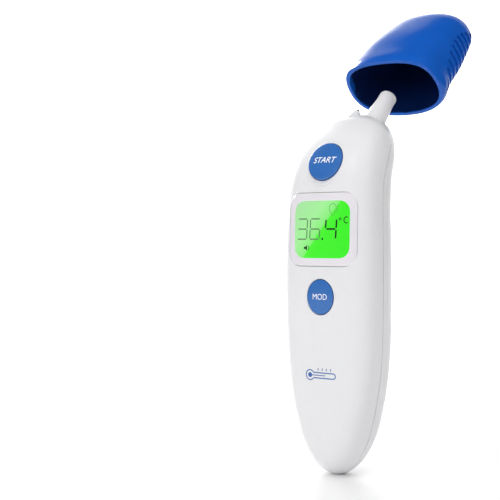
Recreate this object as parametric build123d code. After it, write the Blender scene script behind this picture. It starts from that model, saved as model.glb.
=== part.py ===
from build123d import *
import math
import os

# Digital ear thermometer with its hood-shaped cap drawn off along the probe axis.
# Millimetres, +Z up the handle, the display faces -Y and the probe leans back to +Y.
# Heights below are counted from the handle's tip. The stored origin is the grip.

# ---------------------------------------------------------------- driving sizes
BODY_WIDTH = 42.0
HANDLE_LENGTH = 66.0
WALL = 1.8
PROBE_TIP_RADIUS = 3.6
START_RADIUS = 7.5
MODE_WIDTH = 11.9
MODE_HEIGHT = 13.2
CAP_TRAVEL = 38.5
CAP_WALL = 1.5
BATTERY_RADIUS = 5.25
BATTERY_LENGTH = 44.5
GRIP_HEIGHT = 46.0

GAP = 0.3
SEAM_GAP = 0.3
DOOR_GAP = 0.15

BASE_WIDTH = 42.0
BASE_HANDLE = 66.0
WIDE = BODY_WIDTH / BASE_WIDTH
RISE = HANDLE_LENGTH - BASE_HANDLE

# The head frame: the probe axis leans back by HEAD_LEAN and passes through HEAD_Y, HEAD_Z.
HEAD_LEAN = math.radians(45)
HEAD_Y = 10.25
HEAD_Z = 122.25 + RISE
UP_Y = math.sin(HEAD_LEAN)
UP_Z = math.cos(HEAD_LEAN)

# Handle sections: front y, front z, back y, back z, half width, widest share, front and rear boxiness.
HANDLE_SECTIONS = [
    (-2.6, 0.0, 2.6, 0.0, 2.6, 0.50, 2.1, 2.1),
    (-5.0, 1.4, 5.2, 1.4, 5.4, 0.50, 2.2, 2.2),
    (-8.2, 5.0, 8.8, 5.0, 9.2, 0.47, 2.4, 2.3),
    (-9.8, 11.0, 11.6, 11.0, 12.9, 0.44, 2.7, 2.4),
    (-10.8, 20.0, 13.5, 20.0, 16.1, 0.42, 2.9, 2.5),
    (-11.3, 32.0, 14.6, 32.0, 18.7, 0.41, 3.0, 2.5),
    (-11.6, 48.0, 15.2, 48.0, 20.4, 0.41, 3.1, 2.6),
    (-11.8, 66.0, 15.3, 66.0, 21.0, 0.41, 3.1, 2.6),
    (-11.8, 82.0, 15.2, 81.0, 21.1, 0.41, 3.1, 2.6),
    (-11.6, 96.0, 15.0, 91.0, 20.9, 0.42, 3.1, 2.6),
    (-10.8, 108.5, 15.1, 97.8, 20.5, 0.43, 3.2, 2.55),
    (-8.8, 118.7, 15.5, 104.6, 20.0, 0.45, 3.1, 2.55),
]
# Head sections, square to the probe: height, front, back, half width, widest share, boxiness.
HEAD_SECTIONS = [
    (-4.5, 14.5, -12.3, 19.4, 0.48, 2.9, 2.45),
    (0.5, 14.7, -11.0, 18.4, 0.50, 2.6, 2.3),
    (5.3, 14.0, -9.9, 16.8, 0.50, 2.5, 2.15),
    (9.3, 12.4, -9.3, 14.6, 0.50, 2.4, 2.1),
    (12.7, 10.2, -9.0, 12.0, 0.50, 2.3, 2.1),
    (14.6, 8.6, -8.4, 9.4, 0.50, 2.1, 2.1),
    (15.5, 7.7, -7.7, 7.7, 0.50, 2.0, 2.0),
]
# Cap sections, square to the probe: height over the mouth, front, back, half width, boxiness.
# Seated, its mouth is CAP_SEAT up the head. It leaves along a line CAP_SLANT behind the probe axis.
CAP_CENTRE = 1.8
CAP_SEAT = 3.1
CAP_SLANT = math.radians(3)
CAP_BASE = CAP_SEAT + CAP_TRAVEL * math.cos(CAP_SLANT)
CAP_SHIFT = -CAP_TRAVEL * math.sin(CAP_SLANT)
CAP_SECTIONS = [
    (0.0, 14.4, -14.3, 21.6, 2.8, 2.35),
    (8.0, 14.0, -14.3, 21.2, 2.9, 2.45),
    (18.0, 12.8, -14.0, 20.6, 2.9, 2.5),
    (28.0, 10.9, -13.7, 19.7, 2.8, 2.55),
    (36.0, 8.9, -13.2, 18.6, 2.7, 2.55),
    (42.0, 6.5, -12.2, 17.0, 2.5, 2.5),
    (45.5, 3.4, -10.2, 14.0, 2.3, 2.4),
    (47.0, 0.2, -8.0, 9.6, 2.0, 2.2),
]

# Seam between the shells, in the side view, from the tip up to the rear shell's upper edge.
SEAM_LINE = [
    (-0.5, 30.0),
    (-0.7, 66.0),
    (-0.6, 96.0),
    (0.2, 107.0),
    (2.4, 115.0),
    (5.8, 121.2),
    (9.8, 126.0),
]

DISPLAY_Z = 93.5 + RISE
LENS_WIDTH = 31.3
LENS_HEIGHT = 27.9
LENS_DEPTH = 1.3
LENS_CORNER = 6.0
WINDOW_WIDTH = 27.0
WINDOW_HEIGHT = 23.4
GLASS_FRONT_Y = -8.2
BOARD_FRONT_Y = -5.0
BOARD_THICK = 1.0

START_Y = -8.6
START_Z = 119.4 + RISE
START_TILT = math.radians(22)
MODE_Z = 68.0 + RISE
MODE_FACE_Y = -11.8

PIN_OFFSET = 10.3
PIN_RADIUS = 0.8

BATTERY_FLOOR_Z = 18.0 * HANDLE_LENGTH / BASE_HANDLE
BATTERY_PITCH = 2 * BATTERY_RADIUS + 0.7
BATTERY_Y = BATTERY_RADIUS - 0.05
SPRING_LENGTH = 4.8
CONTACT_THICK = 0.4
TRAY_WALL = 1.4
DOOR_HALF_WIDTH = 12.4
DOOR_START = 2.0
DOOR_LENGTH = 46.0

CASE_SCREW_X = 12.6
CASE_SCREW_Z = 76.0 + RISE
LOW_SCREW_Z = 10.5 * HANDLE_LENGTH / BASE_HANDLE
POST_SPOTS = [
    (-9.6, 60.5 + RISE),
    (9.6, 60.5 + RISE),
    (-12.4, 109.3 + RISE),
    (12.4, 109.3 + RISE),
]

CENTRED = (Align.CENTER, Align.CENTER, Align.CENTER)
STANDING = (Align.CENTER, Align.CENTER, Align.MIN)


# ---------------------------------------------------------------- frames and basic shapes
def lifted(z):
    """Stretch the handle below the mode button and carry everything above it rigidly."""
    if z <= BASE_HANDLE:
        return z * HANDLE_LENGTH / BASE_HANDLE
    return z + RISE


def head_point(x, w, h):
    """A point in the head frame: w towards the front, h up the probe."""
    return Vector(x, HEAD_Y + UP_Y * h - UP_Z * w, HEAD_Z + UP_Z * h + UP_Y * w)


def head_plane(w=0.0, h=0.0, x=0.0):
    """A plane square to the probe axis, with +Z up the probe and +Y towards the front."""
    return Plane(origin=head_point(x, w, h), x_dir=(-1, 0, 0), z_dir=(0, UP_Y, UP_Z))


def start_plane(out=0.0):
    """A plane on the start key, +Z outwards."""
    normal = Vector(0, -math.cos(START_TILT), math.sin(START_TILT))
    return Plane(origin=Vector(0, START_Y, START_Z) + normal * out, x_dir=(1, 0, 0), z_dir=normal)


def mode_plane(out=0.0):
    """A plane on the mode key, +Z outwards."""
    return Plane(origin=(0, MODE_FACE_Y - out, MODE_Z), x_dir=(1, 0, 0), z_dir=(0, -1, 0))


def disc(plane, radius, low, high):
    """A cylinder on a plane from one height to another."""
    return plane * Pos(0, 0, low) * Cylinder(radius, high - low, align=STANDING)


def block(x0, x1, y0, y1, z0, z1):
    """A box given by its limits."""
    centre = Pos((x0 + x1) / 2, (y0 + y1) / 2, (z0 + z1) / 2)
    return centre * Box(x1 - x0, y1 - y0, z1 - z0, align=CENTRED)


def along_y(x, z, radius, y0, y1):
    """A cylinder running back from y0 to y1."""
    plane = Plane(origin=(x, y0, z), x_dir=(1, 0, 0), z_dir=(0, 1, 0))
    return plane * Cylinder(radius, y1 - y0, align=STANDING)


def rounded_block(width, height, corner, y0, y1, z):
    """A rounded rectangle facing -Y, extruded from y0 to y1."""
    plane = Plane(origin=(0, y0, z), x_dir=(1, 0, 0), z_dir=(0, 1, 0))
    return extrude(plane * RectangleRounded(width, height, corner), y1 - y0)


def turned(plane, profile):
    """A solid of revolution about a plane's Z axis from (radius, height) pairs."""
    outline = Polyline(*[(r, 0, h) for r, h in profile], close=True)
    face = make_face(outline)
    return plane * revolve(face, Axis.Z)


# ---------------------------------------------------------------- section lofts
def handle_length(boxiness):
    """Bezier handle share that passes a quarter curve through the superellipse's diagonal."""
    return (8 * 2 ** (-1 / boxiness) - 4) / 3


def closed_section(front, back, half_width, widest, front_box, rear_box):
    """A closed outline through a front and a back point, widest in between."""
    span = back - front
    middle = front + span * widest
    side = Vector(half_width, 0, 0)
    to_front = front - middle
    to_back = back - middle
    kf = handle_length(front_box)
    kr = handle_length(rear_box)
    edges = []
    for depth, share, sign in ((to_front, kf, 1), (to_back, kr, -1)):
        right = side * sign
        start = middle + depth
        end = middle + right
        edges.append(Bezier(start, start + right * share, end + depth * share, end))
        other = (to_back, kr) if sign == 1 else (to_front, kf)
        goal = middle + other[0]
        edges.append(Bezier(end, end + other[0] * other[1], goal + right * other[1], goal))
    return Wire(edges)


def shrunk(front, back, half_width, inset):
    """The same section pulled in by an inset all round."""
    direction = (back - front).normalized()
    return front + direction * inset, back - direction * inset, half_width - inset


def housing_loft(inset=0.0, first=0):
    """The smooth body from the tip to the collar, or an inner copy of it."""
    wires = []
    for row in HANDLE_SECTIONS[first:]:
        front = Vector(0, row[0], lifted(row[1]))
        back = Vector(0, row[2], lifted(row[3]))
        front, back, half = shrunk(front, back, row[4] * WIDE, inset)
        wires.append(closed_section(front, back, half, *row[5:8]))
    rows = HEAD_SECTIONS if inset == 0 else HEAD_SECTIONS[:5]
    for row in rows:
        height = row[0] - inset * max(0.0, row[0] / 12.7)
        wide = row[3] + (WIDE - 1) * row[3] * max(0.0, 1 - max(0.0, row[0]) / 12.0)
        front, back, half = shrunk(head_point(0, row[1], height), head_point(0, row[2], height), wide, inset)
        wires.append(closed_section(front, back, half, *row[4:7]))
    return Solid.make_loft(wires)


def cap_wide(height):
    """Extra width of the cap's mouth when the body is made wider."""
    return 1 + (WIDE - 1) * max(0.0, 1 - height / 40.0)


def cap_point(x, w, height):
    """A point on the drawn-off cap: w from its middle towards the front, height over its mouth."""
    return head_point(x, CAP_CENTRE + CAP_SHIFT + w, CAP_BASE + height)


def cap_loft(inset=0.0, hollow=False):
    """The cap's hood, a copy pulled in by an inset, or its hollow, which is open below."""
    wires = []
    rows = list(CAP_SECTIONS)
    if hollow:
        rows = [(-2.0,) + rows[0][1:]] + rows[1:-1]
    for row in rows:
        height = row[0] if not hollow else row[0] - inset * max(0.0, row[0] / 45.5)
        level = max(0.0, row[0])
        front = cap_point(0, row[1], height)
        back = cap_point(0, row[2], height)
        front, back, half = shrunk(front, back, row[3] * cap_wide(level), inset)
        wires.append(closed_section(front, back, half, 0.5 + 0.004 * level, row[4], row[5]))
    return Solid.make_loft(wires)


def front_region(offset=0.0):
    """Everything on the front side of the seam, its edge moved back by an offset."""
    low = [(SEAM_LINE[0][0], -20.0)]
    line = low + [(y, lifted(z)) for y, z in SEAM_LINE]
    points = [(y + offset, z - offset * 0.6 * (z > HEAD_Z - 12)) for y, z in line]
    top_y, top_z = points[-1]
    seam = Spline(*[Vector(0, y, z) for y, z in points[1:]])
    edges = [Line((0, points[0][0], points[0][1]), seam @ 0), seam]
    corners = [
        (top_y, top_z),
        (top_y + 40, top_z - 40),
        (top_y + 40, top_z + 60),
        (-60, top_z + 60),
        (-60, -20),
        points[0],
    ]
    for a, b in zip(corners[:-1], corners[1:]):
        edges.append(Line((0, a[0], a[1]), (0, b[0], b[1])))
    face = make_face(Wire(edges))
    return extrude(face, amount=60, dir=(1, 0, 0), both=True)


# ---------------------------------------------------------------- shared solids
OUTER = housing_loft()
CAVITY = housing_loft(WALL, 2)
LINING = housing_loft(WALL - 0.5, 2)
CLEAR = housing_loft(WALL + 0.3, 2)
SHELL = OUTER - CAVITY
FRONT_SIDE = front_region()
SEAM_SLAB = front_region(SEAM_GAP / 2) - front_region(-SEAM_GAP / 2)
SKIN = OUTER - housing_loft(0.6, 1)
FRONT_WALL = SHELL & FRONT_SIDE


def one_solid(shape):
    """The largest solid of a boolean result."""
    return max(shape.solids(), key=lambda s: s.volume)


def door_box(grow=0.0):
    """The straight-sided space of the battery door."""
    low = BATTERY_FLOOR_Z + DOOR_START - grow
    high = BATTERY_FLOOR_Z + DOOR_START + DOOR_LENGTH + grow
    half = DOOR_HALF_WIDTH + grow
    plane = Plane(origin=(0, 4.5, (low + high) / 2), x_dir=(1, 0, 0), z_dir=(0, 1, 0))
    return extrude(plane * RectangleRounded(2 * half, high - low, 3.0 + grow), 20)


# ---------------------------------------------------------------- housing
def make_front_shell():
    shell = FRONT_WALL
    shell = shell + disc(start_plane(), START_RADIUS + 1.9, -2.0, -1.2)
    shell = shell + disc(mode_plane(), MODE_HEIGHT / 2 + 1.9, -2.2, -1.2)
    for x in (-CASE_SCREW_X, CASE_SCREW_X):
        shell = shell + (along_y(x, CASE_SCREW_Z, 2.2, -14, -1.0) & LINING)
    shell = shell + (along_y(0, LOW_SCREW_Z, 2.2, -14, -1.0) & LINING)
    for x, z in POST_SPOTS:
        shell = shell + (along_y(x, z, 1.8, -14, BOARD_FRONT_Y) & LINING)
    for x in (-START_RADIUS - 2.9, START_RADIUS + 2.9):
        post = start_plane() * Pos(x, 0, -7.0) * Cylinder(1.1, 5.6, align=STANDING)
        shell = shell + post
    shelf = head_plane(10.0, 1.8) * Pos(0, 2.0, 0) * Box(6, 8, 1.2, align=STANDING)
    shell = shell + (shelf & LINING)
    boss = head_plane(PIN_OFFSET, 9.4) * Rot(0, 0, 30) * Cone(2.4, 1.7, 4.3, align=STANDING)
    shell = shell + boss
    # Openings: probe seat, pin, keys, display and the screws' threads.
    shell = shell - disc(head_plane(), 7.5, 4.0, 12.9)
    shell = shell - disc(head_plane(), 6.6, 12.0, 18.0)
    shell = shell - disc(head_plane(PIN_OFFSET), PIN_RADIUS + GAP, 5.6, 15.0)
    shell = shell - disc(head_plane(PIN_OFFSET), 1.9, 5.6, 8.1)
    shell = shell - disc(start_plane(), START_RADIUS + GAP, -3.0, 3.0)
    shell = shell - disc(start_plane(), START_RADIUS + 1.0 + GAP, -5.0, -2.0)
    key_hole = extrude(mode_plane(3.0) * Ellipse(MODE_WIDTH / 2 + GAP, MODE_HEIGHT / 2 + GAP), -6)
    shell = shell - key_hole
    lens_pocket = rounded_block(LENS_WIDTH + 0.2, LENS_HEIGHT + 0.2, LENS_CORNER, -16, -6, DISPLAY_Z)
    shell = shell - (lens_pocket - housing_loft(LENS_DEPTH, 2))
    shell = shell - rounded_block(WINDOW_WIDTH, WINDOW_HEIGHT, 2.5, -14, -6, DISPLAY_Z)
    shell = shell - block(-15.0, 15.0, GLASS_FRONT_Y - 0.1, 0, DISPLAY_Z - 13.5, DISPLAY_Z + 13.5)
    for x in (-CASE_SCREW_X, CASE_SCREW_X):
        shell = shell - along_y(x, CASE_SCREW_Z, 1.0, -7.5, 0)
    shell = shell - along_y(0, LOW_SCREW_Z, 1.0, -6.5, 0)
    for x, z in POST_SPOTS:
        shell = shell - along_y(x, z, 0.8, -8.0, 0)
    shell = shell - (SKIN & SEAM_SLAB)
    return one_solid(shell)


def make_rear_shell():
    shell = SHELL - FRONT_SIDE
    shell = shell - door_box()
    top = BATTERY_FLOOR_Z + TRAY_WALL + 2 * CONTACT_THICK + SPRING_LENGTH + BATTERY_LENGTH
    plate = block(-14.5, 14.5, -1.4, 24, BATTERY_FLOOR_Z, BATTERY_FLOOR_Z + TRAY_WALL)
    plate = plate + block(-14.5, 14.5, -1.4, 24, top, top + TRAY_WALL)
    shell = shell + ((plate & LINING) - FRONT_WALL)
    side = BATTERY_PITCH / 2 + BATTERY_RADIUS + 0.35
    tray = block(-side - 1.0, side + 1.0, -1.4, -0.2, BATTERY_FLOOR_Z, top + 1.0)
    tray = tray + block(-side - 1.0, -side, -1.4, 7.0, BATTERY_FLOOR_Z, top + 1.0)
    tray = tray + block(side, side + 1.0, -1.4, 7.0, BATTERY_FLOOR_Z, top + 1.0)
    shell = shell + ((tray & CLEAR) - FRONT_WALL)
    for x in (-CASE_SCREW_X, CASE_SCREW_X):
        shell = shell + (along_y(x, CASE_SCREW_Z, 2.6, -1.0, 20) & LINING)
        shell = shell - along_y(x, CASE_SCREW_Z, 1.15, -2, 22)
        shell = shell - along_y(x, CASE_SCREW_Z, 2.0, 4.0, 22)
    shell = shell + (along_y(0, LOW_SCREW_Z, 2.8, -1.0, 20) & LINING)
    shell = shell - along_y(0, LOW_SCREW_Z, 1.15, -2, 22)
    shell = shell - along_y(0, LOW_SCREW_Z, 2.0, 4.0, 22)
    shell = shell - (SKIN & SEAM_SLAB)
    return one_solid(shell)


def make_battery_door():
    door = (OUTER - CAVITY) & door_box(-DOOR_GAP)
    low = BATTERY_FLOOR_Z + DOOR_START
    for i in range(5):
        z = low + DOOR_LENGTH - 6.0 - 2.2 * i
        groove = Plane(origin=(0, 15.4, z), z_dir=(1, 0, 0)) * Cylinder(0.7, 14, align=CENTRED)
        door = door - groove
    return one_solid(door)


# ---------------------------------------------------------------- probe
def make_probe_cone():
    tip = PROBE_TIP_RADIUS
    profile = [
        (tip - 0.6, 11.4),
        (7.5, 11.4),
        (7.5, 12.9),
        (6.6, 12.9),
        (6.6, 15.1),
        (6.1, 15.5),
        (5.6, 16.2),
        (tip + 1.55, 17.4),
        (tip + 1.25, 18.8),
        (tip + 1.0, 21.0),
        (tip + 0.75, 24.0),
        (tip + 0.4, 27.5),
        (tip, 31.4),
        (tip, 34.9),
        (tip - 0.14, 35.02),
        (tip, 35.14),
        (tip - 0.15, 35.8),
        (tip - 0.5, 36.2),
        (tip - 0.9, 36.3),
        (tip - 1.2, 36.2),
        (tip - 1.2, 35.3),
        (tip - 0.6, 35.3),
    ]
    return turned(head_plane(), profile)


def make_probe_window():
    return disc(head_plane(), PROBE_TIP_RADIUS - 0.6, 35.0, 35.3)


def make_sensor_can():
    body = disc(head_plane(), PROBE_TIP_RADIUS - 1.1, 31.6, 35.0)
    return body


def make_sensor_sleeve():
    bore = PROBE_TIP_RADIUS - 1.1
    return disc(head_plane(), PROBE_TIP_RADIUS - 0.6, 20.0, 35.0) - disc(head_plane(), bore, 19.0, 36.0)


def make_sensor_flex():
    points = [
        head_point(0, 0, 31.6),
        head_point(0, 0, 6.0),
        Vector(0, 5.0, HEAD_Z - 5.0),
        Vector(0, -2.2, HEAD_Z - 15.0),
        Vector(0, -3.85, HEAD_Z - 16.5),
        Vector(0, -3.85, HEAD_Z - 21.0),
    ]
    path = FilletPolyline(*points, radius=1.2)
    start = Plane(origin=points[0], x_dir=(1, 0, 0), z_dir=(0, -UP_Y, -UP_Z))
    return sweep(start * Rectangle(2.6, 0.3), path=path)


def make_probe_retainer():
    ring = disc(head_plane(), 7.5, 9.9, 11.4)
    return ring - disc(head_plane(), 4.2, 9.0, 12.0)


def make_pin_switch():
    body = head_plane(PIN_OFFSET, 3.0) * Box(4.0, 2.8, 2.6, align=STANDING)
    return body - disc(head_plane(PIN_OFFSET), PIN_RADIUS + GAP, 3.3, 7.0)


def make_cap_pin():
    pin = disc(head_plane(PIN_OFFSET), PIN_RADIUS, 4.8, 14.7)
    nose = head_plane(PIN_OFFSET, 14.7) * Sphere(PIN_RADIUS)
    flange = disc(head_plane(PIN_OFFSET), 1.5, 7.2, 8.0)
    return pin + nose + flange


# ---------------------------------------------------------------- keys and their switches
def make_start_button():
    radius = START_RADIUS
    profile = [
        (0, -3.0),
        (radius + 1.0, -3.0),
        (radius + 1.0, -2.05),
        (radius, -2.05),
        (radius, 0.1),
        (radius - 0.25, 0.35),
        (radius * 0.8, 0.62),
        (radius * 0.55, 0.8),
        (radius * 0.3, 0.88),
        (0, 0.9),
    ]
    return turned(start_plane(), profile)


def make_start_stem():
    return disc(start_plane(), 1.3, -5.8, -3.0)


def make_start_switch():
    body = start_plane(-7.0) * Box(6.0, 6.0, 2.4, align=STANDING)
    return body - disc(start_plane(), 1.6, -6.7, -4.0)


def make_key_board():
    half = START_RADIUS + 3.9
    board = start_plane(-8.0) * Box(2 * half, 7.6, 1.0, align=STANDING)
    return board


def make_mode_button():
    face = extrude(mode_plane(-3.0) * Ellipse(MODE_WIDTH / 2, MODE_HEIGHT / 2), 3.35)
    edge = face.edges().group_by(Axis.Y)[0]
    face = fillet(edge, 0.3)
    flange = extrude(mode_plane(-3.2) * Ellipse(MODE_WIDTH / 2 + 1.0, MODE_HEIGHT / 2 + 1.0), 0.95)
    return face + flange


def make_mode_stem():
    return disc(mode_plane(), 1.3, -5.0, -3.2)


def make_mode_switch():
    low = MODE_FACE_Y - BOARD_FRONT_Y
    body = mode_plane(low) * Box(6.0, 6.0, 2.4, align=STANDING)
    return body - disc(mode_plane(), 1.6, low + 0.4, low + 4.0)


# ---------------------------------------------------------------- display stack
def make_display_lens():
    plate = rounded_block(LENS_WIDTH, LENS_HEIGHT, LENS_CORNER - 0.1, -16, -6, DISPLAY_Z)
    return one_solid((plate & OUTER) - housing_loft(LENS_DEPTH, 2))


def make_lcd_glass():
    return block(-13.6, 13.6, GLASS_FRONT_Y, GLASS_FRONT_Y + 1.2, DISPLAY_Z - 12.0, DISPLAY_Z + 12.0)


def make_lcd_backlight():
    y0 = GLASS_FRONT_Y + 1.2
    return block(-13.6, 13.6, y0, BOARD_FRONT_Y - 0.2, DISPLAY_Z - 9.4, DISPLAY_Z + 12.0)


def make_zebra_strip():
    y0 = GLASS_FRONT_Y + 1.2
    return block(-12.6, 12.6, y0, BOARD_FRONT_Y, DISPLAY_Z - 11.8, DISPLAY_Z - 9.9)


def make_lcd_frame():
    outside = block(-14.7, 14.7, GLASS_FRONT_Y, BOARD_FRONT_Y, DISPLAY_Z - 13.2, DISPLAY_Z + 13.2)
    return outside - block(-13.6, 13.6, -12, 0, DISPLAY_Z - 12.0, DISPLAY_Z + 12.0)


# ---------------------------------------------------------------- boards
def make_main_board():
    y0 = BOARD_FRONT_Y
    y1 = BOARD_FRONT_Y + BOARD_THICK
    board = block(-14.4, 14.4, y0, y1, 57.5 + RISE, 111.6 + RISE)
    board = board - block(-14.5, -13.0, -9, 0, 57.0 + RISE, 79.0 + RISE)
    board = board - block(13.0, 14.5, -9, 0, 57.0 + RISE, 79.0 + RISE)
    for x in (-CASE_SCREW_X, CASE_SCREW_X):
        board = board - along_y(x, CASE_SCREW_Z, 2.6, -9, 0)
    for x, z in POST_SPOTS:
        board = board - along_y(x, z, 0.8, -9, 0)
    return one_solid(board)


def make_board_chips():
    y1 = BOARD_FRONT_Y + BOARD_THICK
    chips = [
        block(-4.5, 4.5, y1, y1 + 1.2, 71.5 + RISE, 80.5 + RISE),
        block(-10.5, -6.5, y1, y1 + 1.0, 84.0 + RISE, 89.0 + RISE),
        block(6.8, 11.8, y1, y1 + 1.1, 94.0 + RISE, 98.0 + RISE),
        block(-11.0, -8.0, y1, y1 + 0.9, 98.0 + RISE, 100.0 + RISE),
    ]
    return Compound(chips)


def make_buzzer():
    return along_y(1.0, 90.0 + RISE, 5.2, BOARD_FRONT_Y + BOARD_THICK, BOARD_FRONT_Y + BOARD_THICK + 2.6)


def make_board_screws():
    y1 = BOARD_FRONT_Y + BOARD_THICK
    screws = []
    for x, z in POST_SPOTS:
        head = along_y(x, z, 1.5, y1, y1 + 0.9)
        screws.append(one_solid(head + along_y(x, z, 0.8, -7.8, y1)))
    return Compound(screws)


def make_case_screws():
    spots = [(-CASE_SCREW_X, CASE_SCREW_Z, -7.2), (CASE_SCREW_X, CASE_SCREW_Z, -7.2), (0, LOW_SCREW_Z, -6.2)]
    screws = []
    for x, z, tip in spots:
        head = along_y(x, z, 1.8, 4.0, 5.3)
        head = head - block(x - 1.3, x + 1.3, 4.8, 6, z - 0.25, z + 0.25)
        head = head - block(x - 0.25, x + 0.25, 4.8, 6, z - 1.3, z + 1.3)
        screws.append(one_solid(head + along_y(x, z, 1.0, tip, 4.0)))
    return Compound(screws)


# ---------------------------------------------------------------- batteries
def cell_floor():
    return BATTERY_FLOOR_Z + TRAY_WALL + CONTACT_THICK


def make_battery(x, up):
    nub = 1.0
    can = BATTERY_LENGTH - nub
    if up:
        low = cell_floor() + SPRING_LENGTH
        can_low = low
        nub_low = low + can
    else:
        low = cell_floor()
        can_low = low + nub
        nub_low = low
    cell = Pos(x, BATTERY_Y, can_low) * Cylinder(BATTERY_RADIUS, can, align=STANDING)
    return cell + Pos(x, BATTERY_Y, nub_low) * Cylinder(1.9, nub, align=STANDING)


def make_battery_springs():
    springs = []
    spots = [
        (-BATTERY_PITCH / 2, cell_floor()),
        (BATTERY_PITCH / 2, cell_floor() + BATTERY_LENGTH),
    ]
    for x, low in spots:
        wire = 0.35
        coil = Helix(pitch=1.35, height=SPRING_LENGTH - 2 * wire, radius=2.8)
        start = Plane(origin=coil @ 0, z_dir=coil % 0)
        body = sweep(start * Circle(wire), path=coil)
        springs.append(one_solid(Pos(x, BATTERY_Y, low + wire) * body))
    return Compound(springs)


def make_battery_contacts():
    plates = []
    top = cell_floor() + SPRING_LENGTH + BATTERY_LENGTH
    for x in (-BATTERY_PITCH / 2, BATTERY_PITCH / 2):
        for z in (cell_floor() - CONTACT_THICK, top):
            plates.append(block(x - 4.0, x + 4.0, 0.9, 9.0, z, z + CONTACT_THICK))
    return Compound(plates)


# ---------------------------------------------------------------- cap
def grip_lens(side):
    """The lens-shaped finger recess near the cap's rear edge, as a prism from the side."""
    low = cap_point(0, -6.0, 3.5)
    high = cap_point(0, -7.5, 42.5)
    front_arc = ThreePointArc(low, cap_point(0, 3.0, 20.0), high)
    back_arc = ThreePointArc(high, cap_point(0, -12.4, 24.0), low)
    face = make_face(Wire([front_arc, back_arc]))
    return extrude(face, amount=40 * side, dir=(1, 0, 0))


def grip_rib(height):
    """A bar across both finger recesses."""
    plane = Plane(origin=cap_point(0, -5.0, height), x_dir=(-1, 0, 0), z_dir=(0, UP_Y, UP_Z))
    return plane * Box(60, 18, 1.3, align=CENTRED)


def make_cap_shell():
    outer = cap_loft()
    hood = outer - cap_loft(CAP_WALL, hollow=True)
    hood = hood - disc(head_plane(CAP_SHIFT), 5.6, CAP_BASE + 36.0, CAP_BASE + 60.0)
    grip_skin = outer - cap_loft(0.6)
    for side in (-1, 1):
        recess = grip_lens(side) & grip_skin
        for i in range(9):
            recess = recess - grip_rib(8.0 + 3.8 * i)
        hood = hood - recess
    return one_solid(hood)


def make_cap_sleeve():
    axis = head_plane(CAP_SHIFT)
    tube = disc(axis, 5.6, CAP_BASE + 38.5, CAP_BASE + 60.0) & cap_loft()
    return one_solid(tube - disc(axis, 4.5, CAP_BASE + 30.0, CAP_BASE + 62.0))


NODES = {
    "front_shell": make_front_shell,
    "rear_shell": make_rear_shell,
    "battery_door": make_battery_door,
    "probe_cone": make_probe_cone,
    "probe_window": make_probe_window,
    "sensor_can": make_sensor_can,
    "sensor_sleeve": make_sensor_sleeve,
    "sensor_flex": make_sensor_flex,
    "probe_retainer": make_probe_retainer,
    "pin_switch": make_pin_switch,
    "cap_pin": make_cap_pin,
    "start_button": make_start_button,
    "start_stem": make_start_stem,
    "start_switch": make_start_switch,
    "key_board": make_key_board,
    "mode_button": make_mode_button,
    "mode_stem": make_mode_stem,
    "mode_switch": make_mode_switch,
    "display_lens": make_display_lens,
    "lcd_glass": make_lcd_glass,
    "lcd_backlight": make_lcd_backlight,
    "zebra_strip": make_zebra_strip,
    "lcd_frame": make_lcd_frame,
    "main_board": make_main_board,
    "board_chips": make_board_chips,
    "buzzer": make_buzzer,
    "board_screws": make_board_screws,
    "case_screws": make_case_screws,
    "battery_left": lambda: make_battery(-BATTERY_PITCH / 2, True),
    "battery_right": lambda: make_battery(BATTERY_PITCH / 2, False),
    "battery_springs": make_battery_springs,
    "battery_contacts": make_battery_contacts,
    "cap_shell": make_cap_shell,
    "cap_sleeve": make_cap_sleeve,
}

if __name__ == "__main__":
    os.makedirs("parts", exist_ok=True)
    for name, maker in NODES.items():
        shape = maker().moved(Location((0, 0, -GRIP_HEIGHT)))
        export_step(shape, "parts/" + name + ".step")
        print(name, len(shape.solids()), round(shape.volume))
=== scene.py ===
"""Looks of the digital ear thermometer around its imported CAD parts, in metres in the row frame."""

import math

import bmesh
import bpy
import numpy as np
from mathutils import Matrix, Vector
from mathutils.bvhtree import BVHTree


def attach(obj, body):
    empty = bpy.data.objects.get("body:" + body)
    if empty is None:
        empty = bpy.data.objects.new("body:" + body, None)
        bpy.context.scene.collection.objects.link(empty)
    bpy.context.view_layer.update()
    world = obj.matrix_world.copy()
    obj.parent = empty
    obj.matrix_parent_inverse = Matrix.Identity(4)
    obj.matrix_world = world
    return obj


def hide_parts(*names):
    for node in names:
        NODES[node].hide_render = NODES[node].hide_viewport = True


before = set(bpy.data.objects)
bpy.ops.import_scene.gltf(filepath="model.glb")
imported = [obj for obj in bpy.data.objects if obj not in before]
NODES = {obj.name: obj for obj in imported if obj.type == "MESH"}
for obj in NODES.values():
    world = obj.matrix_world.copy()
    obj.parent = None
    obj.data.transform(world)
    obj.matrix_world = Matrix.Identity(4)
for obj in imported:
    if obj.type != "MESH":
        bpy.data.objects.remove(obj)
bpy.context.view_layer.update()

MM = 0.001
GRIP = 46.0                      # the row's origin sits this far above the handle's tip
AXIS = Vector((0.0, math.sqrt(0.5), math.sqrt(0.5)))
AXIS_FOOT = Vector((0.0, 10.25, 122.25 - GRIP)) * MM
START_TILT = math.radians(22)
START_CENTRE = Vector((0.0, -8.6, 119.4 - GRIP)) * MM
START_OUT = Vector((0.0, -math.cos(START_TILT), math.sin(START_TILT)))
MODE_CENTRE = Vector((0.0, -11.8, 68.0 - GRIP)) * MM
MODE_OUT = Vector((0.0, -1.0, 0.0))
DISPLAY_Z = 93.5 - GRIP
FLOOR_Z = (-GRIP - 0.15) * MM
RING = 96                        # facets round a turned piece
LONGEST_EDGE = 0.8               # print is cut finer than this before it is laid on a curved face

START_RADIUS = 7.5
MODE_HALF_WIDTH = 5.95
MODE_HALF_HEIGHT = 6.6
KEY_FLANGE = 1.0
KEY_DEPTH = 3.0

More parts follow.
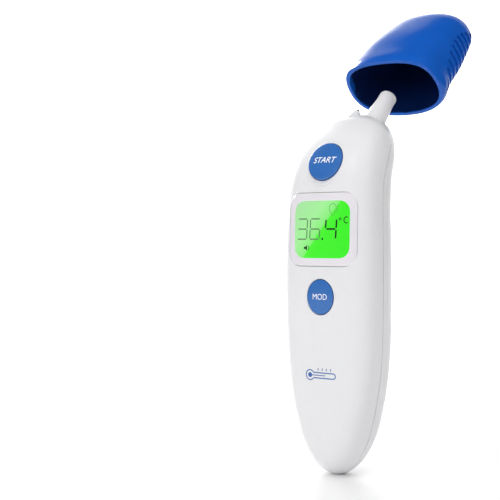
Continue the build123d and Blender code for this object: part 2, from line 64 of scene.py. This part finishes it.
LENS_HALF = (15.55, 13.85)       # half width and half height, then the corner, in millimetres
LENS_CORNER = 5.9
BORDER_HALF = (12.75, 10.85)     # where the lens's printed border ends
BORDER_CORNER = 4.9
CELL_HALF = (13.0, 11.1)
CELL_CORNER = 5.0
CELL_DEPTH = 0.28                # the lit face lies this far behind the lens's front
FIGURE_LIFT = -0.25              # the figures lie just over the lit face
FIGURE_THICK = 0.03
FIGURE_FOOT = -3.7
FIGURE_TALL = 7.7
FIGURE_SLANT = 0.05

TIP_RADIUS = 3.6
MARK_HEIGHT = 38.4 - GRIP

CAP_FOOT = AXIS_FOOT + AXIS * 0.0416 + Vector((0.0, 1.0, -1.0)).normalized() * 0.0002
CAP_RIM = 0.0006                 # the rim's own height, which keeps the glossy cap blue; above it the hood's inside gets painted shade

VIEW = Vector((-0.634, 0.774, 0.0))
CAMERA_PLACE = (0.2581, -0.3686, 0.0454)
CAMERA_LENS = 84.0
CAMERA_SHIFT = -0.03


# ---------------------------------------------------------------- materials
def add(tree, kind, **settings):
    """A shader node with some of its sockets set to constants."""
    node = tree.nodes.new(kind)
    for key, value in settings.items():
        node.inputs[key.replace("_", " ")].default_value = value
    return node


def finish_of(name, colour, roughness, vary, scale, bump, coat=0.0, metallic=0.0, specular=0.5):
    """A procedural surface: mottled colour, uneven roughness and a fine moulded or drawn texture."""
    material = bpy.data.materials.new(name)
    material.use_nodes = True
    tree = material.node_tree
    shader = tree.nodes["Principled BSDF"]
    shader.inputs["Metallic"].default_value = metallic
    shader.inputs["Coat Weight"].default_value = coat
    shader.inputs["Coat Roughness"].default_value = 0.08
    shader.inputs["Specular IOR Level"].default_value = specular
    place = tree.nodes.new("ShaderNodeTexCoord")
    broad = add(tree, "ShaderNodeTexNoise", Scale=scale * 0.06, Detail=4.0, Roughness=0.55)
    fine = add(tree, "ShaderNodeTexNoise", Scale=scale, Detail=6.0, Roughness=0.6)
    tree.links.new(place.outputs["Object"], broad.inputs["Vector"])
    tree.links.new(place.outputs["Object"], fine.inputs["Vector"])
    tint = tree.nodes.new("ShaderNodeValToRGB")
    tint.color_ramp.elements[0].position = 0.3
    tint.color_ramp.elements[1].position = 0.7
    tint.color_ramp.elements[0].color = [c * (1 - vary) for c in colour] + [1.0]
    tint.color_ramp.elements[1].color = [min(1.0, c * (1 + vary)) for c in colour] + [1.0]
    tree.links.new(broad.outputs["Fac"], tint.inputs["Fac"])
    tree.links.new(tint.outputs["Color"], shader.inputs["Base Color"])
    rough = tree.nodes.new("ShaderNodeMapRange")
    rough.inputs["From Min"].default_value = 0.3
    rough.inputs["From Max"].default_value = 0.7
    rough.inputs["To Min"].default_value = roughness * 0.85
    rough.inputs["To Max"].default_value = roughness * 1.15
    tree.links.new(fine.outputs["Fac"], rough.inputs["Value"])
    tree.links.new(rough.outputs["Result"], shader.inputs["Roughness"])
    relief = add(tree, "ShaderNodeBump", Strength=bump, Distance=0.0002)
    tree.links.new(fine.outputs["Fac"], relief.inputs["Height"])
    tree.links.new(relief.outputs["Normal"], shader.inputs["Normal"])
    return material


M = {
    "housing_white": finish_of("gloss_white", (0.80, 0.80, 0.815), 0.30, 0.008, 2600, 0.03, 0.35),
    "probe_white": finish_of("probe_white", (0.82, 0.81, 0.82), 0.36, 0.010, 2600, 0.03, 0.2),
    "key_blue": finish_of("key_blue", (0.032, 0.150, 0.47), 0.24, 0.03, 1800, 0.012, 0.3),
    "cap_blue": finish_of("cap_blue", (0.005, 0.100, 0.50), 0.20, 0.03, 1800, 0.008, 0.0, 0.0, 0.36),
    # painted shade: a dark navy, matt copy of the cap's blue for the hood's inner faces, standing in for
    # the dimness inside
    "cap_painted_shade": finish_of("cap_painted_shade", (0.001, 0.012, 0.080), 0.40, 0.05, 1800, 0.03, 0.0),
    "pin_blue": finish_of("pin_blue", (0.008, 0.010, 0.085), 0.45, 0.05, 2600, 0.02, 0.0, 0.0, 0.2),
    "clear_lens": finish_of("lens_border", (0.80, 0.77, 0.82), 0.16, 0.012, 2400, 0.01, 0.6),
    "lcd_green": finish_of("lcd_cell", (0.30, 0.36, 0.31), 0.2, 0.05, 1500, 0.01),
    "diffuser": finish_of("diffuser", (0.85, 0.86, 0.84), 0.5, 0.02, 1500, 0.05),
    "elastomer": finish_of("elastomer", (0.62, 0.20, 0.22), 0.7, 0.10, 2600, 0.15),
    "inner_white": finish_of("inner_white", (0.72, 0.72, 0.70), 0.55, 0.03, 1800, 0.08),
    "board_green": finish_of("board_green", (0.015, 0.17, 0.055), 0.38, 0.15, 1400, 0.10, 0.3),
    "chip_black": finish_of("chip_black", (0.022, 0.022, 0.024), 0.6, 0.15, 2600, 0.12),
    "switch_grey": finish_of("switch_grey", (0.33, 0.34, 0.36), 0.45, 0.08, 2200, 0.08),
    "stem_tan": finish_of("stem_tan", (0.50, 0.44, 0.36), 0.5, 0.06, 2200, 0.06),
    "buzzer_brass": finish_of("buzzer_brass", (0.74, 0.53, 0.20), 0.32, 0.06, 1600, 0.06, 0.0, 1.0),
    "screw_steel": finish_of("screw_steel", (0.56, 0.57, 0.59), 0.30, 0.06, 2200, 0.08, 0.0, 1.0),
    "cell_jacket": finish_of("cell_jacket", (0.55, 0.56, 0.58), 0.30, 0.06, 1200, 0.03, 0.4, 0.6),
    "spring_steel": finish_of("spring_steel", (0.66, 0.66, 0.68), 0.25, 0.06, 2600, 0.05, 0.0, 1.0),
    "contact_steel": finish_of("contact_steel", (0.70, 0.68, 0.62), 0.28, 0.06, 2200, 0.05, 0.0, 1.0),
    "sensor_metal": finish_of("sensor_metal", (0.72, 0.72, 0.74), 0.28, 0.05, 2200, 0.05, 0.0, 1.0),
    "sleeve_brass": finish_of("sleeve_brass", (0.70, 0.50, 0.22), 0.35, 0.06, 2200, 0.05, 0.0, 1.0),
    "sensor_window": finish_of("sensor_window", (0.035, 0.03, 0.045), 0.12, 0.10, 2200, 0.02, 0.5),
    "flex_amber": finish_of("flex_amber", (0.42, 0.17, 0.03), 0.40, 0.10, 2200, 0.06),
    "legend_white": finish_of("legend_white", (0.97, 0.97, 0.98), 0.6, 0.01, 3000, 0.01),
    "segment_black": finish_of("segment_black", (0.006, 0.012, 0.006), 0.7, 0.10, 3000, 0.02),
    "print_blue": finish_of("print_blue", (0.045, 0.13, 0.42), 0.40, 0.05, 3000, 0.02),
    # painted reflection: dark figures under the painted glare are given this paler grey-green instead of
    # segment black
    "segment_glare_grey": finish_of("segment_glare_grey", (0.10, 0.20, 0.10), 0.35, 0.10, 3000, 0.02),
    "segment_faint": finish_of("segment_faint", (0.10, 0.42, 0.09), 0.35, 0.10, 3000, 0.02),
}

NODE_FINISH = {
    "front_shell": "housing_white", "rear_shell": "housing_white", "battery_door": "housing_white",
    "probe_cone": "probe_white", "probe_window": "sensor_window", "sensor_can": "sensor_metal",
    "sensor_sleeve": "sleeve_brass", "sensor_flex": "flex_amber", "probe_retainer": "inner_white",
    "pin_switch": "switch_grey", "cap_pin": "pin_blue", "start_button": "key_blue",
    "start_stem": "stem_tan", "start_switch": "switch_grey", "key_board": "board_green",
    "mode_button": "key_blue", "mode_stem": "stem_tan", "mode_switch": "switch_grey",
    "display_lens": "clear_lens", "lcd_glass": "lcd_green", "lcd_backlight": "diffuser",
    "zebra_strip": "elastomer", "lcd_frame": "inner_white", "main_board": "board_green",
    "board_chips": "chip_black", "buzzer": "buzzer_brass", "board_screws": "screw_steel",
    "case_screws": "screw_steel", "battery_left": "cell_jacket", "battery_right": "cell_jacket",
    "battery_springs": "spring_steel", "battery_contacts": "contact_steel",
    "cap_shell": "cap_blue", "cap_sleeve": "cap_blue",
}
for node_name, finish in NODE_FINISH.items():
    mesh = NODES[node_name].data
    mesh.materials.clear()
    mesh.materials.append(M[finish])


# ---------------------------------------------------------------- small mesh tools
def piece(name, mesh, material, body):
    """A named mesh object that rides on a body."""
    obj = bpy.data.objects.new(name, mesh)
    bpy.context.scene.collection.objects.link(obj)
    mesh.materials.append(material)
    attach(obj, body)
    return obj


def mesh_from(bm, name, smooth=True, split=35.0):
    """A finished mesh, shaded smooth except along edges sharper than split degrees."""
    bmesh.ops.recalc_face_normals(bm, faces=bm.faces)
    limit = math.radians(split)
    for face in bm.faces:
        face.smooth = smooth
    for edge in bm.edges:
        if len(edge.link_faces) == 2 and edge.calc_face_angle(0.0) > limit:
            edge.smooth = False
    mesh = bpy.data.meshes.new(name)
    bm.to_mesh(mesh)
    bm.free()
    return mesh


def rounded(points, steps=6):
    """A smooth curve through (radius, height) points, for a turned profile."""
    made = []
    for i in range(len(points) - 1):
        p0 = Vector(points[max(i - 1, 0)])
        p1, p2 = Vector(points[i]), Vector(points[i + 1])
        p3 = Vector(points[min(i + 2, len(points) - 1)])
        for k in range(steps):
            t = k / steps
            made.append(0.5 * (2 * p1 + (p2 - p0) * t + (2 * p0 - 5 * p1 + 4 * p2 - p3) * t * t
                               + (3 * p1 - p0 - 3 * p2 + p3) * t ** 3))
    made.append(Vector(points[-1]))
    return [(max(0.0, v[0]), v[1]) for v in made]


def turned(name, profile, foot, out, squash=(1.0, 1.0)):
    """A closed turned mesh from (radius, height) pairs in millimetres about a foot point and direction."""
    across = Vector((1.0, 0.0, 0.0))
    up = out.cross(across)
    bm = bmesh.new()
    rows = []
    for r, h in profile:
        centre = foot + out * h * MM
        if r < 1e-6:
            rows.append([bm.verts.new(centre)])
            continue
        row = []
        for i in range(RING):
            a = 2 * math.pi * i / RING
            offset = across * math.cos(a) * r * squash[0] + up * math.sin(a) * r * squash[1]
            row.append(bm.verts.new(centre + offset * MM))
        rows.append(row)
    for low, high in zip(rows[:-1], rows[1:]):
        for i in range(RING):
            j = (i + 1) % RING
            if len(low) == 1:
                bm.faces.new((low[0], high[j], high[i]))
            elif len(high) == 1:
                bm.faces.new((low[i], low[j], high[0]))
            else:
                bm.faces.new((low[i], low[j], high[j], high[i]))
    return mesh_from(bm, name)


# ---------------------------------------------------------------- keys and their legends
def start_dome(r):
    """Height of the start key's face over its centre plane, in millimetres."""
    return 0.86 - 0.62 * (r / 7.2) ** 2.2


def mode_dome(r):
    """The same for the mode key, whose face is almost flat."""
    return 0.36 - 0.12 * (r / 6.3) ** 3.0


def key_profile(dome, radius, flange, depth):
    """A domed face, a small rolled edge, a straight side and the hidden flange, from the face down."""
    face = [(radius * 0.96 * k / 14, dome(radius * 0.96 * k / 14)) for k in range(15)]
    edge = dome(radius * 0.96)
    roll = [(radius * (0.96 + 0.04 * math.sin(a)), edge - radius * 0.05 * (1 - math.cos(a)))
            for a in [math.pi / 2 * k / 5 for k in range(1, 6)]]
    side = [(radius, -depth + 0.95), (radius + flange, -depth + 0.9), (radius + flange, -depth),
            (0.0, -depth)]
    return face + roll + side


def legend(name, words, size, shear, plane, surface, body, stretch=1.0, bold=0.0):
    """Raised print: the words' outline, cut fine enough to follow the key's face."""
    foot, across, up, out = plane
    curve = bpy.data.curves.new(name, "FONT")
    curve.body = words
    curve.size = size
    curve.shear = shear
    curve.offset = bold
    curve.align_x = "CENTER"
    curve.align_y = "CENTER"
    source = bpy.data.objects.new(name + "_source", curve)
    bpy.context.scene.collection.objects.link(source)
    bpy.context.view_layer.update()
    flat = bpy.data.meshes.new_from_object(source.evaluated_get(bpy.context.evaluated_depsgraph_get()))
    bpy.data.objects.remove(source)
    bm = bmesh.new()
    bm.from_mesh(flat)
    return relief_mesh(bm, name, foot, across, up, out, surface, body, stretch)


def relief_mesh(bm, name, foot, across, up, out, surface, body, stretch=1.0, thick=0.035, lift=0.03,
                material="legend_white"):
    """Gives a flat drawing in millimetres a thickness and lays it on a surface."""
    bmesh.ops.triangulate(bm, faces=bm.faces)
    for _ in range(4):
        long_edges = [e for e in bm.edges if e.calc_length() > LONGEST_EDGE]
        if not long_edges:
            break
        bmesh.ops.subdivide_edges(bm, edges=long_edges, cuts=1)
        bmesh.ops.triangulate(bm, faces=bm.faces)
    bottom = list(bm.verts)
    made = bmesh.ops.extrude_face_region(bm, geom=list(bm.faces))
    top = [v for v in made["geom"] if isinstance(v, bmesh.types.BMVert)]
    for group, rise in ((bottom, lift - thick), (top, lift)):
        for v in group:
            x, y = v.co.x * stretch, v.co.y
            v.co = foot + (across * x + up * y + out * (surface(x, y) + rise)) * MM
    mesh = mesh_from(bm, name, smooth=False)
    return piece(name, mesh, M[material], body)


def build_keys():
    """The round start key and the oval mode key, each with its raised print."""
    profile = key_profile(start_dome, START_RADIUS, KEY_FLANGE, KEY_DEPTH)
    key = piece("start_key_face", turned("start_key_face", profile, START_CENTRE, START_OUT), M["key_blue"],
                "start_key")
    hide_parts("start_button")
    profile = key_profile(mode_dome, MODE_HALF_HEIGHT, KEY_FLANGE, KEY_DEPTH)
    oval = (MODE_HALF_WIDTH / MODE_HALF_HEIGHT, 1.0)
    key = piece("mode_key_face", turned("mode_key_face", profile, MODE_CENTRE, MODE_OUT, oval),
                M["key_blue"], "mode_key")
    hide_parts("mode_button")
    across = Vector((1.0, 0.0, 0.0))
    start_up = across.cross(-START_OUT)
    mode_up = Vector((0.0, 0.0, 1.0))
    legend("start_legend", "START", 3.35, 0.22, (START_CENTRE, across, start_up, START_OUT),
           lambda x, y: start_dome(math.hypot(x, y)), "start_key", 1.0, 0.018)
    legend("mode_legend", "MOD", 3.15, 0.0, (MODE_CENTRE, across, mode_up, MODE_OUT),
           lambda x, y: mode_dome(math.hypot(x, y)), "mode_key", 0.92, -0.006)


# ---------------------------------------------------------------- display
def skin_fit():
    """Least-squares surface y(x, z) through the CAD lens's front, in millimetres about its middle."""
    vertices = [v.co / MM for v in NODES["display_lens"].data.vertices]
    tree = BVHTree.FromPolygons(vertices, [p.vertices[:] for p in NODES["display_lens"].data.polygons])
    rows, values = [], []
    for i in range(-15, 16):
        for k in range(-13, 14):
            hit = tree.ray_cast(Vector((i, -60.0, DISPLAY_Z + k)), Vector((0, 1, 0)))
            if hit[0] is not None:
                rows.append(skin_terms(i, k))
                values.append(hit[0].y)
    return np.linalg.lstsq(np.array(rows), np.array(values), rcond=None)[0]


def skin_terms(x, z):
    x, z = x / 15.0, z / 13.0
    return [x ** (2 * i) * z ** j for i in range(4) for j in range(3)]


def rounded_outline(half_w, half_h, corner, count=128):
    """Points of a softly cornered rectangle, spaced by angle so that two outlines pair up."""
    points = []
    for i in range(count):
        a = 2 * math.pi * i / count
        dx, dz = math.cos(a), math.sin(a)
        low, high = 0.0, half_w + half_h
        for _ in range(40):
            t = (low + high) / 2
            x, z = abs(dx * t), abs(dz * t)
            px, pz = max(0.0, x - (half_w - corner)), max(0.0, z - (half_h - corner))
            inside = x <= half_w and z <= half_h and (px ** 2.3 + pz ** 2.3) ** (1 / 2.3) <= corner
            low, high = (t, high) if inside else (low, t)
        points.append((dx * low, dz * low))
    return points


def draped_patch(name, rings, skin, closed_middle):
    """A sheet from outline to outline, each ring given as (points, depth behind the skin)."""
    bm = bmesh.new()
    rows = []
    for points, depth in rings:
        rows.append([bm.verts.new(Vector((x, skin(x, z) + depth, DISPLAY_Z + z)) * MM) for x, z in points])
    count = len(rows[0])
    for a, b in zip(rows[:-1], rows[1:]):
        for i in range(count):
            j = (i + 1) % count
            bm.faces.new((a[i], a[j], b[j], b[i]))
    if closed_middle:
        for row in (rows[0], rows[-1]):
            bm.faces.new(row)
    else:
        for i in range(count):
            j = (i + 1) % count
            bm.faces.new((rows[-1][i], rows[-1][j], rows[0][j], rows[0][i]))
    return mesh_from(bm, name, split=30.0)


def scaled(points, factor):
    return [(x * factor, z * factor) for x, z in points]


def between(a, b, t):
    return [(p[0] + (q[0] - p[0]) * t, p[1] + (q[1] - p[1]) * t) for p, q in zip(a, b)]


def lcd_material():
    """The lit cell: green backlight with a painted reflection, a pale diagonal glare painted towards its
    upper left, mottled by the diffuser behind.
    """
    material = finish_of("lcd_lit_painted_glare", (0.07, 0.80, 0.035), 0.25, 0.03, 2400, 0.01, 0.6)
    tree = material.node_tree
    shader = tree.nodes["Principled BSDF"]
    place = tree.nodes.new("ShaderNodeTexCoord")
    split = tree.nodes.new("ShaderNodeSeparateXYZ")
    tree.links.new(place.outputs["Object"], split.inputs["Vector"])
    # painted reflection: a slanted ramp across the cell sets where the pale glare lies
    glare_slant = tree.nodes.new("ShaderNodeMath")
    glare_slant.operation = "MULTIPLY_ADD"
    glare_slant.inputs[1].default_value = -1.25
    tree.links.new(split.outputs["X"], glare_slant.inputs[0])
    tree.links.new(split.outputs["Z"], glare_slant.inputs[2])
    glare_span = tree.nodes.new("ShaderNodeMapRange")
    glare_span.inputs["From Min"].default_value = (DISPLAY_Z - 20.0) * MM
    glare_span.inputs["From Max"].default_value = (DISPLAY_Z + 26.0) * MM
    tree.links.new(glare_slant.outputs["Value"], glare_span.inputs["Value"])
    mottle = add(tree, "ShaderNodeTexNoise", Scale=260.0, Detail=3.0, Roughness=0.5)
    tree.links.new(place.outputs["Object"], mottle.inputs["Vector"])
    glare_and_mottle = tree.nodes.new("ShaderNodeMath")
    glare_and_mottle.operation = "MULTIPLY_ADD"
    glare_and_mottle.inputs[1].default_value = 0.02
    tree.links.new(mottle.outputs["Fac"], glare_and_mottle.inputs[0])
    tree.links.new(glare_span.outputs["Result"], glare_and_mottle.inputs[2])
    # green backlight below about 0.445; above it the pale stops are a painted reflection, the glare on the
    # upper left
    backlight_and_glare = tree.nodes.new("ShaderNodeValToRGB")
    elements = backlight_and_glare.color_ramp.elements
    elements[0].position, elements[0].color = 0.0, (0.050, 0.92, 0.022, 1.0)
    elements[1].position, elements[1].color = 1.0, (0.42, 0.83, 0.40, 1.0)
    for position, colour in ((0.34, (0.060, 0.94, 0.028, 1.0)), (0.435, (0.085, 0.95, 0.040, 1.0)),
                             (0.455, (0.26, 0.92, 0.21, 1.0)), (0.62, (0.40, 0.93, 0.35, 1.0))):
        element = elements.new(position)
        element.color = colour
    tree.links.new(glare_and_mottle.outputs["Value"], backlight_and_glare.inputs["Fac"])
    tree.links.new(backlight_and_glare.outputs["Color"], shader.inputs["Emission Color"])
    shader.inputs["Emission Strength"].default_value = 0.92
    for link in list(shader.inputs["Base Color"].links):
        tree.links.remove(link)
    dim = tree.nodes.new("ShaderNodeMix")
    dim.data_type = "RGBA"
    dim.inputs["Factor"].default_value = 0.93
    dim.inputs["B"].default_value = (0.0, 0.0, 0.0, 1.0)
    tree.links.new(backlight_and_glare.outputs["Color"], dim.inputs["A"])
    tree.links.new(dim.outputs["Result"], shader.inputs["Base Color"])
    return material


SEGMENTS = {"3": "abcdg", "6": "acdefg", "4": "bcfg"}


def stroke(bm, a, b, width, taper=0.5):
    """A straight bar with pointed ends."""
    a, b = Vector(a), Vector(b)
    along = (b - a).normalized()
    side = Vector((-along.y, along.x)) * width / 2
    tip = along * width * taper
    corners = [a, a + tip + side, b - tip + side, b, b - tip - side, a + tip - side]
    bm.faces.new([bm.verts.new((p.x, p.y, 0.0)) for p in corners])


def digit(bm, figure, x, z, wide, tall, width, slant):
    """One figure of seven bars, leaning a little."""
    gap = width * 0.35
    half = tall / 2
    ends = {
        "a": ((gap, tall), (wide - gap, tall)), "d": ((gap, 0), (wide - gap, 0)),
        "g": ((gap, half), (wide - gap, half)), "b": ((wide, tall - gap), (wide, half + gap)),
        "c": ((wide, half - gap), (wide, gap)), "f": ((0, tall - gap), (0, half + gap)),
        "e": ((0, half - gap), (0, gap)),
    }
    for name in SEGMENTS[figure]:
        a, b = ends[name]
        stroke(bm, (x + a[0] + slant * a[1], z + a[1]), (x + b[0] + slant * b[1], z + b[1]), width)


def polyline(bm, points, width, closed=False):
    """A bent line of even width."""
    chain = [Vector(p) for p in points]
    count = len(chain)
    pairs = []
    for i, p in enumerate(chain):
        before = chain[i - 1] if closed or i > 0 else p
        after = chain[(i + 1) % count] if closed or i < count - 1 else p
        along = (after - before).normalized()
        side = Vector((-along.y, along.x)) * width / 2
        pairs.append((bm.verts.new((p + side).to_3d()), bm.verts.new((p - side).to_3d())))
    for i in range(count if closed else count - 1):
        a, b = pairs[i], pairs[(i + 1) % count]
        bm.faces.new((a[0], a[1], b[1], b[0]))


def disk(bm, x, z, radius, count=20):
    ring = [(x + radius * math.cos(2 * math.pi * i / count), z + radius * math.sin(2 * math.pi * i / count))
            for i in range(count)]
    bm.faces.new([bm.verts.new((px, pz, 0.0)) for px, pz in ring])


def arc_points(x, z, radius, start, end, count=12, tall=1.0):
    return [(x + radius * math.cos(math.radians(start + (end - start) * i / count)),
             z + radius * tall * math.sin(math.radians(start + (end - start) * i / count)))
            for i in range(count + 1)]


def build_display():
    """The lens border, the lit cell behind it and the figures on the cell."""
    terms = skin_fit()

    def skin(x, z):
        return float(np.dot(terms, skin_terms(x, z)))

    outer = rounded_outline(*LENS_HALF, LENS_CORNER)
    inner = rounded_outline(*BORDER_HALF, BORDER_CORNER)
    shoulder = between(outer, inner, 0.05)
    lip = between(inner, outer, 0.05)
    rings = [(outer, 0.12), (between(outer, inner, 0.02), 0.03), (shoulder, 0.0)]
    rings += [(between(shoulder, lip, k / 6), 0.0) for k in range(1, 7)]
    rings += [(inner, 0.05), (inner, 0.5), (between(inner, outer, 0.5), 0.6), (outer, 0.6)]
    border = piece("lens_border", draped_patch("lens_border", rings, skin, False), M["clear_lens"],
                   "housing")
    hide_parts("display_lens")

    cell = rounded_outline(*CELL_HALF, CELL_CORNER)
    rings = [(cell, 0.55), (cell, CELL_DEPTH)]
    rings += [(scaled(cell, 1 - 0.1 * k), CELL_DEPTH) for k in range(1, 10)]
    panel = piece("lcd_picture", draped_patch("lcd_picture", rings, skin, True), lcd_material(), "housing")
    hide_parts("lcd_glass")

    foot = Vector((0.0, 0.0, DISPLAY_Z)) * MM
    across, up, out = Vector((1, 0, 0)), Vector((0, 0, 1)), Vector((0, -1, 0))

    def surface(x, z):
        return -skin(x, z)

    figures = bmesh.new()
    # the 3 and 6 lie under the painted glare, so their segments are painted paler: a painted reflection
    digit(figures, "3", -11.4, FIGURE_FOOT, 4.7, FIGURE_TALL, 0.46, FIGURE_SLANT)
    digit(figures, "6", -5.2, FIGURE_FOOT, 4.5, FIGURE_TALL, 0.46, FIGURE_SLANT)
    relief_mesh(figures, "reading_left", foot, across, up, out, surface, "housing", 1.0, FIGURE_THICK,
                FIGURE_LIFT, "segment_glare_grey")
    figures = bmesh.new()
    digit(figures, "4", 2.0, FIGURE_FOOT, 4.7, FIGURE_TALL, 0.66, FIGURE_SLANT)
    disk(figures, 0.75, -3.6, 0.42)
    polyline(figures, arc_points(8.6, 3.9, 0.42, 0, 340, 12), 0.28, False)
    polyline(figures, arc_points(11.2, 3.5, 1.0, 55, 305, 14, 1.15), 0.36, False)
    speaker = [(-8.0, -6.6), (-7.3, -6.6), (-6.5, -5.9), (-6.5, -8.1), (-7.3, -7.4), (-8.0, -7.4)]
    figures.faces.new([figures.verts.new((x, z, 0.0)) for x, z in speaker])
    polyline(figures, arc_points(-6.7, -7.0, 1.1, -45, 45, 6), 0.26, False)
    relief_mesh(figures, "reading_right", foot, across, up, out, surface, "housing", 1.0, FIGURE_THICK,
                FIGURE_LIFT, "segment_black")
    icon = bmesh.new()
    head = arc_points(5.2, 7.9, 1.55, -60, 250, 26, 1.15)
    polyline(icon, head, 0.2, False)
    polyline(icon, [(4.7, 6.2), (4.7, 5.4), (6.0, 5.4), (6.0, 6.3)], 0.2, False)
    polyline(icon, [(7.3, 6.3), (7.3, 9.3)], 0.2, False)
    relief_mesh(icon, "mode_icon", foot, across, up, out, surface, "housing", 1.0, FIGURE_THICK,
                FIGURE_LIFT, "segment_faint")


# ---------------------------------------------------------------- probe and printed mark
def build_probe():
    """The tapered probe: flange, flared base, straight tip with its ring line, and open rounded nose."""
    tip = TIP_RADIUS
    wall = rounded([(6.6, 15.1), (6.35, 15.45), (5.9, 15.95), (5.45, 16.7), (5.1, 17.7), (4.85, 18.9),
                    (4.6, 21.0), (4.33, 24.0), (3.98, 27.5), (3.66, 31.0), (tip, 32.4), (tip, 33.6)], 4)
    nose = rounded([(tip, 35.16), (3.56, 35.55), (3.4, 35.92), (3.15, 36.18), (2.8, 36.3), (2.5, 36.22),
                    (2.4, 35.9)], 4)
    profile = [(3.0, 11.4), (7.5, 11.4), (7.5, 12.9), (6.6, 12.9)] + wall
    profile += [(tip, 34.86), (tip - 0.14, 34.95), (tip - 0.14, 35.07)] + nose
    profile += [(2.4, 35.3), (3.0, 35.3), (3.0, 11.4)]
    cone = piece("probe_sheath", turned("probe_sheath", profile, AXIS_FOOT, AXIS), M["probe_white"],
                 "housing")
    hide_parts("probe_cone")


def build_mark():
    """A small generic thermometer pictogram printed low on the front."""
    vertices = [v.co / MM for v in NODES["front_shell"].data.vertices]
    tree = BVHTree.FromPolygons(vertices, [p.vertices[:] for p in NODES["front_shell"].data.polygons])

    def surface(x, z):
        hit = tree.ray_cast(Vector((x, -60.0, MARK_HEIGHT + z)), Vector((0, 1, 0)))
        return -hit[0].y

    mark = bmesh.new()
    tube = arc_points(-5.0, 0.0, 1.9, 32, 328, 18)
    tube += [(5.6, -1.0)] + arc_points(5.6, 0.0, 1.0, -75, 75, 6) + [(5.6, 1.0)]
    polyline(mark, tube, 0.42, True)
    disk(mark, -5.0, 0.0, 0.95)
    polyline(mark, [(-4.2 + 0.9 * k, 0.0) for k in range(8)], 0.34, False)
    for k in range(4):
        polyline(mark, [(-1.2 + 1.9 * k, 1.75), (-1.2 + 1.9 * k, 2.75)], 0.36, False)
    relief_mesh(mark, "front_mark", Vector((0.0, 0.0, MARK_HEIGHT)) * MM, Vector((1, 0, 0)),
                Vector((0, 0, 1)), Vector((0, -1, 0)), surface, "housing", 1.0, 0.04, 0.03, "print_blue")


def paint_shade_in_hood():
    """The hood's inner faces get painted shade: a dark, matt copy of the cap's blue stands in for the
    dimness inside; the outside, rim and grips keep the glossy blue.
    """
    mesh = NODES["cap_shell"].data
    mesh.materials.append(M["cap_painted_shade"])
    tree = BVHTree.FromPolygons([v.co for v in mesh.vertices], [p.vertices[:] for p in mesh.polygons])
    for polygon in mesh.polygons:
        height = (polygon.center - CAP_FOOT).dot(AXIS)
        along = polygon.normal.dot(AXIS)
        across = tree.ray_cast(polygon.center + polygon.normal * 0.00002, polygon.normal)[3]
        faces_wall = across is not None and across > 0.001 and abs(along) < 0.9
        faces_mouth = across is None and along < -0.75
        if height > CAP_RIM and (faces_wall or faces_mouth):
            # painted shade: these inner faces get the dark copy of the cap's blue
            polygon.material_index = 1


# ---------------------------------------------------------------- studio
def build_floor():
    """A pale sweep: level under the object, then curving up behind it."""
    bm = bmesh.new()
    profile = [(-1.2, 0.0), (0.0, 0.0), (0.6, 0.0), (1.1, 0.0)]
    for i in range(1, 17):
        a = math.pi / 2 * i / 16
        profile.append((1.1 + 0.8 * math.sin(a), 0.8 - 0.8 * math.cos(a)))
    profile.append((1.9, 2.6))
    across = [-2.4, -1.2, 0.0, 1.2, 2.4]
    view_dir = VIEW.normalized()
    side_dir = Vector((0.774, 0.634, 0.0)).normalized()
    rows = []
    for s, z in profile:
        row_foot = Vector((0, 0, FLOOR_Z + z))
        rows.append([bm.verts.new(view_dir * s + side_dir * t + row_foot) for t in across])
    for a, b in zip(rows[:-1], rows[1:]):
        for i in range(len(across) - 1):
            bm.faces.new((a[i], a[i + 1], b[i + 1], b[i]))
    mesh = mesh_from(bm, "floor")
    floor = bpy.data.objects.new("floor", mesh)
    bpy.context.scene.collection.objects.link(floor)
    mesh.materials.append(finish_of("floor_white", (0.93, 0.93, 0.93), 0.46, 0.004, 40, 0.0))


def area_light(name, place, target, size, power, glossy=True, diffuse=True):
    """A rectangular light aimed at a target. A strip with diffuse off shows only as a gloss highlight."""
    light = bpy.data.lights.new(name, "AREA")
    light.shape = "RECTANGLE"
    light.size, light.size_y = size
    light.energy = power
    obj = bpy.data.objects.new(name, light)
    obj.location = place
    obj.visible_glossy = glossy
    obj.visible_diffuse = diffuse
    obj.rotation_euler = (Vector(target) - Vector(place)).to_track_quat("-Z", "Y").to_euler()
    bpy.context.scene.collection.objects.link(obj)


def build_studio():
    """The floor, a soft even world, the lights and the camera."""
    build_floor()
    world = bpy.data.worlds.new("studio")
    world.use_nodes = True
    world.node_tree.nodes["Background"].inputs["Color"].default_value = (1.0, 1.0, 1.0, 1.0)
    world.node_tree.nodes["Background"].inputs["Strength"].default_value = 0.58
    world.cycles_visibility.glossy = False
    bpy.context.scene.world = world
    area_light("key", (-0.35, -0.95, 0.42), (0, 0, 0.03), (0.6, 0.8), 4.0, glossy=False)
    area_light("fill", (0.80, -0.25, 0.25), (0, 0, 0.03), (0.4, 0.7), 0.45, glossy=False)
    area_light("top", (0.30, -0.15, 0.85), (0, 0, 0.03), (0.6, 0.6), 2.3, glossy=False)
    area_light("side_strip", (-0.62, 0.22, 0.34), (0, 0.03, 0.08), (0.22, 0.45), 14.0, diffuse=False)
    area_light("front_strip", (-0.10, -0.62, 0.62), (0, 0, 0.06), (0.10, 0.30), 0.25, diffuse=False)
    area_light("backdrop", (-0.7, 0.85, 0.9), (-1.2, 1.4, 0.2), (1.2, 1.2), 24.0, glossy=False)

    camera_data = bpy.data.cameras.new("camera")
    camera_data.lens = CAMERA_LENS
    camera_data.sensor_width = 36.0
    camera_data.shift_y = CAMERA_SHIFT
    camera_data.clip_start = 0.01
    camera = bpy.data.objects.new("camera", camera_data)
    camera.location = CAMERA_PLACE
    camera.rotation_euler = VIEW.to_track_quat("-Z", "Y").to_euler()
    bpy.context.scene.collection.objects.link(camera)
    bpy.context.scene.camera = camera
    bpy.context.scene.view_settings.view_transform = "Standard"


build_keys()
build_display()
build_probe()
build_mark()
paint_shade_in_hood()
build_studio()
